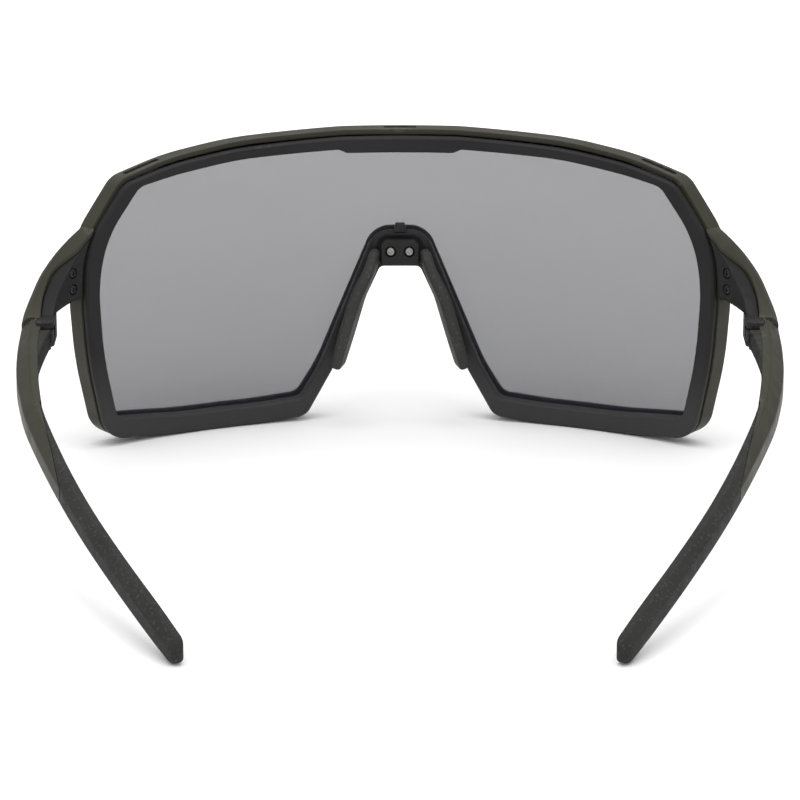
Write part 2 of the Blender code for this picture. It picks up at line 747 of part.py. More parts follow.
def make_temple():
    start = ARM_STATIONS[0][1]
    end = ARM_STATIONS[-1][1]
    body = arm_sections(arm_rows(start, TIP_START_Y))
    tongue = arm_sections(arm_rows(TIP_START_Y, SOCKET_END_Y - 1.0), TONGUE_SCALE)
    arm = finish_mesh("temple_arm_left", loft(body + tongue), "frame_olive", 50)
    tip_body = with_round_ends(arm_sections(arm_rows(TIP_START_Y + GAP, end)), 0.7, first=False)
    tip = finish_mesh("temple_tip_left", loft(tip_body), "tip_rubber", 50)
    socket = arm_sections(arm_rows(TIP_START_Y - 1.5, SOCKET_END_Y), SOCKET_SCALE)
    boolean(tip, finish_mesh("socket_cutter_left", loft(socket), None))

    swing_heights = (LUG_BOTTOM[0] - 1.2, LUG_TOP[1] + 1)
    insert = finish_mesh("temple_insert_left", loft(insert_sections()), "rim_black", 30)
    wide_swing = barrel(swing_heights, SWING_R, 28)
    boolean(insert, finish_mesh("insert_swing_cutter_left", wide_swing, None))
    knuckle = finish_mesh("knuckle_left", moving_lug(), None)
    boolean(insert, knuckle, "UNION")
    bore = barrel((LUG_BOTTOM[0], LUG_TOP[1]), PIN_BORE_R, 14)
    boolean(insert, finish_mesh("knuckle_bore_cutter_left", bore, None))
    swing = barrel(swing_heights, BARREL_R + GAP, 20)
    boolean(arm, finish_mesh("arm_swing_cutter_left", swing, None))
    boolean(arm, finish_mesh("arm_notch_cutter_left", fixed_knuckle(GAP), None))
    boolean(arm, finish_mesh("insert_pocket_cutter_left", loft(insert_sections(GAP)), None))
    for piece in (arm, tip, insert):
        set_origin(piece, hinge_point(0))


def insert_sections(grow=0.0):
    """The dark wedge let into the temple's inner side behind the hinge."""
    sections = []
    first = HINGE_Y + BARREL_R * 0.2 - grow
    rows = arm_rows(first, INSERT_END_Y + grow)
    for x, y, top, thick, _ in rows:
        share = (y - first) / (rows[-1][1] - first)
        inner = (HINGE_X - BARREL_R) * (1 - share) + (x - thick / 2 + 0.4) * share
        outer = x - thick / 2 + 1.3
        high = top - INSERT_TOP_DROP + grow
        low = high - INSERT_HEIGHT - 2 * grow
        left = inner - grow
        right = outer + grow
        corners = ((left, high - 0.4), (left + 0.4, high), (right, high), (right, low),
                   (left + 0.4, low), (left, low + 0.4))
        sections.append([Vector((px, back_y(y), pz)) for px, pz in corners])
    return sections


def moving_lug():
    """The middle lug with a web running back into the insert."""
    centre = hinge_point(0)
    points = []
    for step in range(13):
        angle = math.radians(180 + 180 * step / 12)
        points.append((centre.x + BARREL_R * math.cos(angle),
                       centre.y + BARREL_R * math.sin(angle)))
    points.append((centre.x + BARREL_R * 0.6, back_y(HINGE_Y + WEB_BACK)))
    points.append((centre.x - BARREL_R * 0.98, back_y(HINGE_Y + WEB_BACK)))
    return loft([[Vector((x, y, z)) for x, y in points] for z in LUG_MID])


def main():
    clear_scene()
    opening, brow, edge, rear = outlines()
    make_outer_frame(opening, edge)
    make_inner_rim(brow, rear)
    make_lens(opening, edge)
    make_bracket()
    grown = between(opening, edge, 1.0 + GAP / 4.0)
    envelope = finish_mesh("frame_envelope", plate(grown, 88.0, 104.0, 3.0), None)
    hide_cutter(envelope)
    seat = (NOSE_SCREW_X, back_y(BRACKET_Y[1] - SCREW_HEAD_H), NOSE_SCREW_Z)
    make_screw("nose_screw_left", seat, (0, -1, 0), SCREW_HEAD_R, SCREW_HEAD_H,
               SCREW_SHAFT_R, NOSE_SCREW_LENGTH)
    make_pad()
    make_wire()
    make_end_piece(envelope)
    make_pin()
    make_temple()
    left = [o for o in bpy.data.objects if o.name.endswith("_left") and not o.hide_render]
    for item in left:
        mirrored(item)


main()
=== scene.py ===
"""Wraparound sport sunglasses standing open on a white table."""

import json
import math

import bmesh
import bpy
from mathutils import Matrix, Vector

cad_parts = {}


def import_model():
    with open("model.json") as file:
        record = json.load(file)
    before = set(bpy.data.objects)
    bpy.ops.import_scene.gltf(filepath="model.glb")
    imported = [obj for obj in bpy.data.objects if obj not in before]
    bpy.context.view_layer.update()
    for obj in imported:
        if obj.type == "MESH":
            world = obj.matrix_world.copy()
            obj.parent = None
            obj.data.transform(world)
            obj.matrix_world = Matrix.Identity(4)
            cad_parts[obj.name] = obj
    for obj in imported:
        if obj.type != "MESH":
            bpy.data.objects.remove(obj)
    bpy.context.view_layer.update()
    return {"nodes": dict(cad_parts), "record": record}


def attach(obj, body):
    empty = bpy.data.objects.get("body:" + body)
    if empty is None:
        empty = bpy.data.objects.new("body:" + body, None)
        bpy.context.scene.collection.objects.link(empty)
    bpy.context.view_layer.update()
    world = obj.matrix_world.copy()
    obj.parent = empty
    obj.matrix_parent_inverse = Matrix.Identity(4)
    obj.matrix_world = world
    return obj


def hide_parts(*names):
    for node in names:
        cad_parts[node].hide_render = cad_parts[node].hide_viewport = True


MM = 0.001

# The front is bent round an upright cylinder: depths are radii from its axis.
WRAP_RADIUS = 96.0
WRAP_AXIS_Y = 23.8
FOREMOST_Y = -75.2
FRAME_FACE = 99.0
FRAME_FLANGE_BACK = 97.6
FRAME_BACK = 94.6
LENS_FACE = 97.3
LENS_BACK = 95.7
RIM_LIP = 95.4
RIM_FRONT = 94.3
RIM_BACK = 92.9

# Corners of the front from the brow round to the nose, for the opening, the
# frame's outer edge and the rear rim's edge: (arc, height, rounding), segments
FRONT_CORNERS = (
    ((10.9, 56.3, 0.6), (10.9, 60.05, 1.2), (10.9, 58.85, 1.2), 2),
    ((12.6, 56.3, 0.6), (12.6, 60.0, 1.2), (12.6, 58.8, 1.2), 2),
    ((34.0, 55.4, 90.0), (34.0, 58.95, 90.0), (34.0, 57.65, 90.0), 6),
    ((47.5, 53.7, 60.0), (48.0, 57.0, 60.0), (48.0, 55.85, 60.0), 6),
    ((55.8, 52.3, 3.6), (59.6, 54.0, 4.6), (59.2, 53.2, 4.6), 8),
    ((63.5, 43.3, 18.0), (68.6, 42.7, 20.0), (68.2, 42.4, 20.0), 6),
    ((66.1, 34.5, 24.0), (69.9, 32.5, 40.0), (69.6, 32.5, 40.0), 5),
    ((65.2, 19.5, 60.0), (68.7, 18.0, 60.0), (68.4, 18.0, 60.0), 5),
    ((62.1, 5.8, 1.8), (65.0, 1.9, 6.0), (64.7, 1.6, 6.0), 10),
    ((46.5, 4.1, 70.0), (46.5, 0.3, 60.0), (46.5, 0.0, 60.0), 3),
    ((30.0, 4.1, 60.0), (30.0, 0.3, 40.0), (30.0, 0.0, 40.0), 3),
    ((20.9, 4.9, 2.4), (19.6, 1.2, 3.0), (19.7, 1.0, 3.0), 8),
    ((16.9, 11.2, 30.0), (14.0, 10.6, 20.0), (14.1, 10.6, 20.0), 5),
    ((5.3, 39.3, 4.8), (4.0, 32.1, 1.2), (4.1, 32.0, 1.2), 10),
)
OPENING, FRAME_EDGE, RIM_EDGE = 0, 1, 2
BROW_DROP = 0.75

# Outlines are drawn this far apart, bridged in order, then pushed together
APART = 20.0

# Vent slots in the top of the frame: (centre, half length, bottom, top)
VENTS = ((-53.6, 3.9, 53.6, 57.6), (0.0, 3.3, 58.0, 61.5), (53.6, 3.9, 53.6, 57.6))

# The plate under the nose arch, the arch's raised band and the tab on top of it
PLATE_CORNERS = ((3.8, 32.8), (3.8, 37.1), (2.9, 38.0))
PLATE_Y = (-68.75, -66.9)
BAND_OUTER = ((7.2, 31.3, 1.0), (4.9, 39.2, 2.6))
BAND_INNER = ((6.4, 31.3, 1.0), (4.1, 38.55, 1.9))
TAB_CORNERS = ((1.35, 39.3), (0.95, 40.75))
SCREW_X = 1.87
SCREW_Z = 35.7

# Nose pads: (x, distance back, height, width, thickness)
PAD_STATIONS = (
    (5.2, 8.9, 35.4, 3.0, 2.0),
    (6.1, 9.9, 32.2, 4.6, 2.3),
    (8.3, 10.6, 27.4, 6.2, 2.5),
    (9.8, 11.0, 22.6, 6.6, 2.5),
    (11.1, 11.2, 18.0, 6.4, 2.4),
    (12.4, 11.2, 13.2, 5.6, 2.1),
)
PAD_SPLAY = 14.0

# Temples: (centre x, distance back, top, thickness, height)
TEMPLE_STATIONS = (
    (71.35, 41.3, 31.2, 4.1, 6.9),
    (71.45, 49.9, 29.3, 4.1, 6.8),
    (70.9, 59.0, 27.1, 4.2, 6.4),
    (69.7, 68.0, 24.9, 3.8, 6.0),
    (67.9, 76.6, 22.8, 3.5, 5.6),
    (62.6, 93.4, 18.8, 3.3, 5.2),
    (56.6, 109.6, 15.0, 3.2, 5.0),
    (49.9, 125.2, 11.3, 3.2, 5.0),
    (42.8, 140.3, 7.5, 3.2, 5.0),
    (38.2, 149.2, 4.54, 2.9, 4.6),
)
# The olive part runs back to the sleeve, whose slanted front edge in plan is a line from the
# temple's inner side outwards: (x, distance back).
# The slant is painted shade: it brings the darker sleeve forward along the temple's inner facet,
# where shade falls.
TEMPLE_BACK = 102.5
SLEEVE_SEAM = ((67.5, 72.0), (47.75, 170.0))
SEAM_GAP = 0.12
TIP_ROUNDING = 1.2

# End pieces: (outer x, outer y, inner x, inner y, top, bottom of the shell and of
# the carrier, where the roof starts and where the shell starts across the width)
END_STATIONS = (
    (62.6, 22.2, 59.6, 26.6, 45.6, 31.6, 31.6, 0.0, 0.42),
    (67.0, 26.0, 62.7, 28.8, 42.2, 30.6, 31.6, 0.0, 0.42),
    (70.2, 30.2, 65.0, 31.8, 38.5, 29.0, 31.5, 0.5, 0.52),
    (72.0, 34.0, 66.7, 34.9, 35.1, 27.2, 31.0, 0.5, 0.52),
    (73.1, 37.6, 67.3, 37.8, 32.6, 25.6, 28.8, 0.42, 0.44),
    (73.4, 41.0, 67.6, 41.0, 31.3, 24.4, 27.5, 0.34, 0.36),
)
ROOF = 0.9
CLEARANCE = 0.2
LUG_ROOM = 0.3
SEAT_ARC = 72.0
SEAT_HEIGHTS = (37.2, 33.9)
SEAT_RADIUS = 94.4
ENVELOPE = (88.0, 108.0)

# Hinge: its axis, the barrel's radius and the heights of the three lugs
HINGE = (68.7, 42.6)
BARREL = 1.75
LUG_TOP = (29.9, 31.1)
LUG_MID = (27.7, 29.6)
LUG_BOTTOM = (26.2, 27.4)
SWING = (20.0, 40.0)
PIN_HEAD = (25.3, 25.9)
PIN_RADIUS = 0.6
INSERT_END = 60.0


# ------------------------------------------------------------ modelling steps

def pick(item):
    """Makes one object the only one selected, and the active one."""
    bpy.ops.object.select_all(action="DESELECT")
    item.select_set(True)
    bpy.context.view_layer.objects.active = item


def edit(item, kind="VERT"):
    pick(item)
    bpy.ops.object.mode_set(mode="EDIT")
    bpy.ops.mesh.select_mode(type=kind)


def leave():
    bpy.ops.object.mode_set(mode="OBJECT")


def choose(item, kind, test):
    """In edit mode, selects only the vertices, edges or faces that pass a test."""
    bpy.ops.mesh.select_mode(type=kind)
    bpy.ops.mesh.select_all(action="DESELECT")
    shape = bmesh.from_edit_mesh(item.data)
    for part in {"VERT": shape.verts, "EDGE": shape.edges, "FACE": shape.faces}[kind]:
        if test(part):
            part.select_set(True)
    shape.select_flush_mode()
    bmesh.update_edit_mesh(item.data)


def new_drawing(name):
    """An empty mesh in edit mode, ready to be drawn in."""
    bpy.ops.object.select_all(action="DESELECT")
    bpy.ops.mesh.primitive_plane_add(size=MM, location=(0, 0, 0))
    item = bpy.context.active_object
    item.name = name
    item.data.name = name
    edit(item)
    bpy.ops.mesh.select_all(action="SELECT")
    bpy.ops.mesh.delete(type="VERT")
    shape = bmesh.from_edit_mesh(item.data)
    shape.verts.layers.int.new("loop")
    bmesh.update_edit_mesh(item.data)
    return item


def loop_layer(item):
    shape = bmesh.from_edit_mesh(item.data)
    return shape, shape.verts.layers.int["loop"]


def choose_new(item):
    """Selects what was drawn since the last loop was numbered."""
    _, layer = loop_layer(item)
    choose(item, "VERT", lambda vertex: vertex[layer] == 0)


def number_new(item, number):
    shape, layer = loop_layer(item)
    for vertex in shape.verts:
        if vertex[layer] == 0:
            vertex[layer] = number
    bmesh.update_edit_mesh(item.data)


def draw_chain(points):
    """Draws a line of edges point by point."""
    bpy.ops.mesh.select_mode(type="VERT")
    bpy.ops.mesh.primitive_plane_add(size=MM, location=(0, 0, 0))
    bpy.ops.mesh.merge(type="CENTER")
    bpy.ops.transform.translate(value=points[0])
    for before, after in zip(points, points[1:]):
        bpy.ops.mesh.extrude_vertices_move(TRANSFORM_OT_translate={"value": after - before})


def corner_reach(before, corner, after, radius):
    """How far along its edges a corner's rounding reaches."""
    half = (before - corner).angle(after - corner) / 2
    room = 0.46 * min((before - corner).length, (after - corner).length)
    return max(0.25 * MM, min(radius * MM / math.tan(half), room))


def draw_outline(item, corners, number, keep_face=False):
    """Draws a closed outline in millimetres; corners are (point, radius, segments)."""
    points = [Vector(point) * MM for point, _, _ in corners]
    draw_chain(points)
    choose_new(item)
    bpy.ops.mesh.edge_face_add()
    count = len(points)
    for index, (_, radius, segments) in enumerate(corners):
        if not segments:
            continue
        spot = points[index]
        reach = corner_reach(points[index - 1], spot, points[(index + 1) % count], radius)
        _, layer = loop_layer(item)
        choose(item, "VERT", lambda vertex: vertex[layer] == 0
               and (vertex.co - spot).length < 0.02 * MM)
        bpy.ops.mesh.bevel(affect="VERTICES", offset=reach, segments=segments)
    if not keep_face:
        choose_new(item)
        bpy.ops.mesh.delete(type="ONLY_FACE")
    number_new(item, number)


def bridge(item, first, second):
    _, layer = loop_layer(item)
    choose(item, "EDGE", lambda edge: len(edge.link_faces) < 2
           and {vertex[layer] for vertex in edge.verts} in ({first}, {second}))
    bpy.ops.mesh.bridge_edge_loops()


def modifier(item, kind, **settings):
    """Adds a modifier, sets it and applies it."""
    pick(item)
    bpy.ops.object.modifier_add(type=kind)
    made = item.modifiers[-1]
    for name, value in settings.items():
        setattr(made, name, value)
    bpy.ops.object.modifier_apply(modifier=made.name)


def soften_edges(item, width, segments=3, angle=30.0):
    modifier(item, "BEVEL", width=width * MM, segments=segments, limit_method="ANGLE",
             angle_limit=math.radians(angle), use_clamp_overlap=True)


def cut(item, cutter, operation="DIFFERENCE"):
    """Cuts a finished solid out of another, or joins it on, and removes it."""
    modifier(item, "BOOLEAN", object=cutter, operation=operation, solver="EXACT")
    bpy.data.objects.remove(cutter, do_unlink=True)


def wrap(item, strip=2.5):
    """Cuts a flat front piece into strips and bends it round the face."""
    edit(item)
    reach = max(abs(vertex.co.x) for vertex in bmesh.from_edit_mesh(item.data).verts)
    count = int(reach / (strip * MM))
    for index in range(-count, count + 1):
        bpy.ops.mesh.select_all(action="SELECT")
        bpy.ops.mesh.bisect(plane_co=(index * strip * MM, 0, 0), plane_no=(1, 0, 0))
    leave()
    modifier(item, "SIMPLE_DEFORM", deform_method="BEND", deform_axis="Z",
             angle=2 * reach / (WRAP_RADIUS * MM))
    item.location.y = (WRAP_AXIS_Y - WRAP_RADIUS) * MM
    settle(item)


def settle(item):
    """Puts an object's place into its mesh."""
    pick(item)
    bpy.ops.object.transform_apply(location=True, rotation=True, scale=True)


def smooth(item, angle=35.0):
    pick(item)
    bpy.ops.object.shade_smooth_by_angle(angle=math.radians(angle))
    modifier(item, "WEIGHTED_NORMAL", keep_sharp=True, weight=60)


def outward(item):
    edit(item)
    bpy.ops.mesh.select_all(action="SELECT")
    bpy.ops.mesh.remove_doubles(threshold=0.004 * MM)
    bpy.ops.mesh.normals_make_consistent(inside=False)
    leave()


def rounded_bar(name, size, place, turn=0.0, edge=0.2, upright=False):
    """A block with rounded edges; upright rounds only the upright ones."""
    bpy.ops.object.select_all(action="DESELECT")
    bpy.ops.mesh.primitive_cube_add(size=MM, location=(0, 0, 0))
    item = bpy.context.active_object
    item.name = name
    edit(item, "EDGE")
    bpy.ops.mesh.select_all(action="SELECT")
    bpy.ops.transform.resize(value=size)
    choose(item, "EDGE", lambda part: not upright or
           abs(part.verts[0].co.z - part.verts[1].co.z) > 0.1 * MM)
    bpy.ops.mesh.bevel(offset=edge * MM, segments=3, affect="EDGES")
    leave()
    item.rotation_euler.z = turn
    item.location = Vector(place) * MM
    settle(item)
    return item


def round_bar(name, start, end, radius, edge=0.0, sides=40):
    """A bar with round ends between two points in millimetres."""
    start, end = Vector(start) * MM, Vector(end) * MM
    along = end - start
    bpy.ops.object.select_all(action="DESELECT")
    bpy.ops.mesh.primitive_cylinder_add(vertices=sides, radius=radius * MM, depth=along.length,
                                        location=(0, 0, 0))
    item = bpy.context.active_object
    item.name = name
    if edge:
        edit(item, "EDGE")
        choose(item, "EDGE", lambda part:
               abs(part.verts[0].co.z - part.verts[1].co.z) < 0.001 * MM)
        bpy.ops.mesh.bevel(offset=edge * MM, segments=3, affect="EDGES")
        leave()
    item.rotation_euler = along.to_track_quat("Z", "Y").to_euler()
    item.location = (start + end) / 2
    settle(item)
    return item


def other_side(item, name):
    """A mirrored copy, with its own mesh, for the wearer's right."""
    pick(item)
    bpy.ops.object.duplicate()
    copy = bpy.context.active_object
    copy.name = name
    copy.data.name = name
    edit(copy)
    bpy.ops.mesh.select_all(action="SELECT")
    bpy.ops.transform.resize(value=(-1, 1, 1), center_override=(0, 0, 0))
    bpy.ops.mesh.normals_make_consistent(inside=False)
    leave()
    return copy


def back_y(distance):
    return FOREMOST_Y + distance


def smooth_rows(stations, pieces):
    """Smooth in-between rows through rows of numbers."""
    rows = [list(station) for station in stations]
    rows = [[2 * a - b for a, b in zip(rows[0], rows[1])], *rows,
            [2 * a - b for a, b in zip(rows[-1], rows[-2])]]
    result = []
    for index in range(1, len(rows) - 2):
        for piece in range(pieces):
            t = piece / pieces
            result.append([0.5 * (2 * b + (c - a) * t + (2 * a - 5 * b + 4 * c - d) * t * t
                                  + (3 * b - a - 3 * c + d) * t ** 3)
                           for a, b, c, d in zip(*rows[index - 1:index + 3])])
    return result + [rows[-2]]


def loft(name, sections):
    """A solid through closed sections, each a list of (point, radius, segments)."""
    item = new_drawing(name)
    last = len(sections)
    for number, section in enumerate(sections, start=1):
        draw_outline(item, section, number, number in (1, last))
    for number in range(1, last):
        bridge(item, number, number + 1)
    leave()
    outward(item)
    return item


# ------------------------------------------------------------------ the front

def front_outline(which, share, brow, depth):
    """All corners of an outline part of the way from the opening to an edge."""
    half = []
    for index, corner in enumerate(FRONT_CORNERS):
        low, high = list(corner[OPENING]), corner[which]
        low[1] -= brow if index == 0 else 0.0
        x, z, radius = (a + (b - a) * share for a, b in zip(low, high))
        half.append((x, z, radius, corner[3]))
    whole = half + [(-x, z, radius, segments) for x, z, radius, segments in half[::-1]]
    return [((x, depth, z), radius, segments) for x, z, radius, segments in whole]


def front_ring(name, section):
    """A closed ring along the front; section is (outline, share, brow, radius)."""
    item = new_drawing(name)
    for number, (which, share, brow, radius) in enumerate(section, start=1):
        depth = WRAP_RADIUS - radius + number * APART
        draw_outline(item, front_outline(which, share, brow, depth), number)
    for number in range(1, len(section)):
        bridge(item, number, number + 1)
    bridge(item, len(section), 1)
    _, layer = loop_layer(item)
    for number in range(1, len(section) + 1):
        choose(item, "VERT", lambda vertex: vertex[layer] == number)
        bpy.ops.transform.translate(value=(0, -number * APART * MM, 0))
    leave()
    outward(item)
    return item


def make_front_frame():
    edge = FRAME_EDGE
    item = front_ring("front_frame", (
        (edge, 0.0, 0.0, FRAME_FACE - 0.25), (edge, 0.1, 0.0, FRAME_FACE),
        (edge, 0.86, 0.0, FRAME_FACE), (edge, 1.0, 0.0, FRAME_FACE - 0.7),
        (edge, 1.0, 0.0, FRAME_BACK), (edge, 0.7, 0.0, FRAME_BACK),
        (edge, 0.7, 0.0, FRAME_FLANGE_BACK), (edge, 0.0, 0.0, FRAME_FLANGE_BACK),
    ))
    soften_edges(item, 0.3)
    for index, (centre, half, low, high) in enumerate(VENTS):
        place = (centre, WRAP_RADIUS - 96.65, (low + high) / 2)
        slot = rounded_bar(f"vent_{index}", (2 * half, 1.3, high - low), place,
                           edge=0.5, upright=True)
        cut(item, slot)
    wrap(item)
    smooth(item)
    return item


def make_rear_rim():
    edge, drop = RIM_EDGE, BROW_DROP
    item = front_ring("rear_rim", (
        (edge, 0.0, drop, RIM_LIP), (edge, 0.0, drop, RIM_BACK + 0.35),
        (edge, 0.09, drop, RIM_BACK), (edge, 0.84, drop, RIM_BACK),
        (edge, 1.0, drop, RIM_BACK + 0.55), (edge, 1.0, drop, RIM_FRONT),
        (edge, 0.6, drop, RIM_FRONT), (edge, 0.6, drop, RIM_LIP),
    ))
    soften_edges(item, 0.18, 2)
    band = new_drawing("arch_band")
    outer = [((x, 0, z), r, 6) for x, z, r in BAND_OUTER]
    inner = [((x, 0, z), r, 6) for x, z, r in BAND_INNER[::-1]]
    right = [((-p[0], 0, p[2]), r, s) for p, r, s in outer[::-1]]
    right_inner = [((-p[0], 0, p[2]), r, s) for p, r, s in inner[::-1]]
    outline = outer + right + right_inner + inner
    for number, radius in ((1, RIM_BACK - 0.45), (2, RIM_BACK + 0.5)):
        depth = WRAP_RADIUS - radius
        draw_outline(band, [((p[0], depth, p[2]), r, s) for p, r, s in outline], number, True)
    bridge(band, 1, 2)
    leave()
    outward(band)
    soften_edges(band, 0.2, 2, 50.0)
    cut(item, band, "UNION")
    tab = new_drawing("arch_tab")
    for number, radius in ((1, RIM_BACK - 0.5), (2, RIM_FRONT + 0.6)):
        half = [((x, WRAP_RADIUS - radius, z), 0.3, 3) for x, z in TAB_CORNERS]
        whole = half + [((-p[0], p[1], p[2]), r, s) for p, r, s in half[::-1]]
        draw_outline(tab, whole, number, True)
    bridge(tab, 1, 2)
    leave()
    outward(tab)
    soften_edges(tab, 0.15, 2, 50.0)
    cut(item, tab, "UNION")
    wrap(item)
    smooth(item)
    return item


def make_lens():
    item = new_drawing("shield")
    for number, radius in ((1, LENS_BACK), (2, LENS_FACE)):
        outline = front_outline(FRAME_EDGE, 0.5, 0.0, WRAP_RADIUS - radius)
        draw_outline(item, outline, number, True)
    bridge(item, 1, 2)
    leave()
    outward(item)
    soften_edges(item, 0.2, 2, 50.0)
    wrap(item)
    smooth(item)
    return item


# ------------------------------------------------------------- the nose parts

def make_plate():
    item = new_drawing("nose_plate")
    for number, y in ((1, PLATE_Y[0]), (2, PLATE_Y[1])):
        half = [((x, y, z), 0.25, 2) for x, z in PLATE_CORNERS]
        whole = half + [((-p[0], p[1], p[2]), r, s) for p, r, s in half[::-1]]
        draw_outline(item, whole, number, True)
    bridge(item, 1, 2)
    leave()
    outward(item)
    soften_edges(item, 0.22, 3, 50.0)
    for side in (-1, 1):
        seat = round_bar("seat", (side * SCREW_X, PLATE_Y[1] - 0.9, SCREW_Z),
                         (side * SCREW_X, PLATE_Y[1] + 1, SCREW_Z), 1.15, sides=48)
        cut(item, seat)
    smooth(item)
    return item


def make_screw(name, head_centre, inward, length, head_r=0.85, head_h=0.6, shaft_r=0.45):
    """A pan-head screw with a cross recess, its head outside the seat."""
    head_centre, inward = Vector(head_centre), Vector(inward).normalized()
    head = round_bar(name, (0, 0, 0), (0, 0, head_h), head_r, 0.24)
    shaft = round_bar("shaft", (0, 0, -length), (0, 0, 0.1), shaft_r, 0.12, 20)
    cut(head, shaft, "UNION")
    for turn in (0.0, math.pi / 2):
        blade = rounded_bar("blade", (1.05, 0.26, 0.6), (0, 0, head_h), turn, 0.05)
        cut(head, blade)
    head.rotation_euler = (-inward).to_track_quat("Z", "Y").to_euler()
    head.location = head_centre * MM
    settle(head)
    smooth(head, 30.0)
    return head


def make_pad():
    wide = Vector((math.sin(math.radians(PAD_SPLAY)), math.cos(math.radians(PAD_SPLAY)), 0))
    rows = smooth_rows(PAD_STATIONS, 4)
    middles = [Vector((row[0], back_y(row[1]), row[2])) for row in rows]
    sections = []
    for index, (middle, row) in enumerate(zip(middles, rows)):
        ahead = middles[min(index + 1, len(rows) - 1)]
        behind = middles[max(index - 1, 0)]
        thin = (ahead - behind).normalized().cross(wide).normalized()
        sections.append((middle, wide, thin, row[3], row[4]))
    sections = with_round_ends(sections, 0.55)
    item = loft("bridge_pad", [flat_section(*section, 0.49) for section in sections])
    modifier(item, "SUBSURF", levels=1, render_levels=1)
    smooth(item, 60.0)
    return item


def flat_section(middle, wide, thin, width, thickness, roundness):
    """A rounded rectangle; roundness is the corner radius over the thickness."""
    radius = roundness * min(width, thickness)
    a, b = wide * (width / 2), thin * (thickness / 2)
    return [(middle + corner, radius, 5) for corner in (a + b, b - a, -a - b, a - b)]


def with_round_ends(sections, share, first=True, last=True):
    """Adds smaller sections beyond the ends, so that they come out rounded."""
    def cap(end, inner):
        middle, wide, thin, width, thickness = end
        push = (middle - inner[0]).normalized() * min(width, thickness)
        return [(middle + push * share * out, wide, thin, width * size, thickness * size)
                for size, out in ((0.93, 0.3), (0.78, 0.55), (0.5, 0.78), (0.2, 0.88))]

    result = list(sections)
    if first:
        result = cap(sections[0], sections[1])[::-1] + result
    if last:
        result = result + cap(sections[-1], sections[-2])
    return result


# ---------------------------------------------------------------- the temples

def temple_rows(start, end):
    rows = smooth_rows(TEMPLE_STATIONS, 4)
    inside = [row for row in rows if start + 0.7 < row[1] < end - 0.7]
    return [row_at(rows, start), *inside, row_at(rows, end)]


def row_at(rows, y):
    for before, after in zip(rows, rows[1:]):
        if before[1] <= y <= after[1]:
            share = (y - before[1]) / (after[1] - before[1])
            return [a + (b - a) * share for a, b in zip(before, after)]
    return rows[0] if y < rows[0][1] else rows[-1]


def temple_sections(start, end):
    rows = temple_rows(start, end)
    sections = []
    for index, (x, y, top, thick, tall) in enumerate(rows):
        before = rows[max(index - 1, 0)]
        after = rows[min(index + 1, len(rows) - 1)]
        along = Vector((after[0] - before[0], after[1] - before[1], 0)).normalized()
        if y < TEMPLE_STATIONS[0][1] + 0.1:
            along = Vector((0, 1, 0))
        wide = Vector((along.y, -along.x, 0))
        middle = Vector((x, back_y(y), top - tall / 2))
        sections.append((middle, wide, Vector((0, 0, 1)), thick, tall))
    return sections


def creased_section(middle, wide, thin, width, height, crease=0.36):
    """A temple's section: top facet, crease, outer facet, rounded underneath."""
    corners = ((-0.5, 0.5, 0.35), (crease - 0.5, 0.5, 0.1), (crease - 0.44, 0.455, 0.1),
               (crease - 0.36, 0.475, 0.2), (0.5, 0.2, 0.5), (0.5, -0.5, 1.1),
               (-0.5, -0.5, 0.9))
    return [(middle + wide * (width * across) + thin * (height * up), radius, 3)
            for across, up, radius in corners]


def sleeve_section(middle, wide, thin, width, height):
    """The sleeve's section: the temple's slanted outer facet with soft corners."""
    corners = ((-0.5, 0.5, 0.3), (0.02, 0.48, 0.2), (0.5, 0.2, 0.25), (0.5, -0.5, 0.34),
               (-0.5, -0.5, 0.34))
    return [(middle + wide * (width * across) + thin * (height * up),
             radius * min(width, height), 5) for across, up, radius in corners]


def sleeve_space(grow=0.0):
    """An upright block round all that the sleeve covers, behind its slanted front edge."""
    (near_x, near), (far_x, far) = SLEEVE_SEAM
    plan = ((near_x + grow, near - grow), (far_x + grow, far), (20.0, far), (20.0, near - grow))
    return loft("sleeve_space", [[((x, back_y(y), z), 0.1, 2) for x, y in plan]
                                 for z in (-20.0, 60.0)])


def make_temple():
    sections = temple_sections(TEMPLE_STATIONS[0][1], TEMPLE_BACK)
    item = loft("temple", [creased_section(*section) for section in sections])
    cut(item, sleeve_space(SEAM_GAP))
    cut(item, hinge_bar("swing", SWING, BARREL + CLEARANCE))
    cut(item, loft("pocket", insert_sections(0.05)))
    smooth(item, 25.0)
    return item


def insert_sections(grow=0.0):
    """The dark wedge let into the temple's inner side behind the hinge."""
    first = HINGE[1] + BARREL * 0.2 - grow
    rows = temple_rows(first, INSERT_END + grow)
    sections = []
    for x, y, top, thick, _ in rows:
        share = (y - first) / (rows[-1][1] - first)
        inner = (HINGE[0] - BARREL) * (1 - share) + (x - thick / 2 + 0.4) * share
        left, right = inner - grow, x - thick / 2 + 1.3 + grow
        high, low = top - 0.25 + grow, top - 3.9 - grow
        sections.append([((px, back_y(y), pz), radius, 3) for px, pz, radius in
                         ((left, high, 0.5), (right, high, 0.1), (right, low, 0.1),
                          (left, low, 0.5))])
    return sections


def hinge_bar(name, heights, radius):
    x, y = HINGE[0], back_y(HINGE[1])
    return round_bar(name, (x, y, heights[0]), (x, y, heights[1]), radius, sides=48)


def hinge_lug(name, heights, towards, inset, reach):
    """A rounded lug round the pin with a web; towards is +1 back or -1 forward."""
    x, y = HINGE[0], back_y(HINGE[1])
    corners = [(x - BARREL, y + towards * reach, 0.1), (x - BARREL, y - towards * BARREL, BARREL),
               (x + BARREL, y - towards * BARREL, BARREL), (x + BARREL, y, 0.1),
               (x + inset, y + towards * reach, 0.1)]
    return loft(name, [[((px, py, pz), radius, 8) for px, py, radius in corners]
                       for pz in heights])


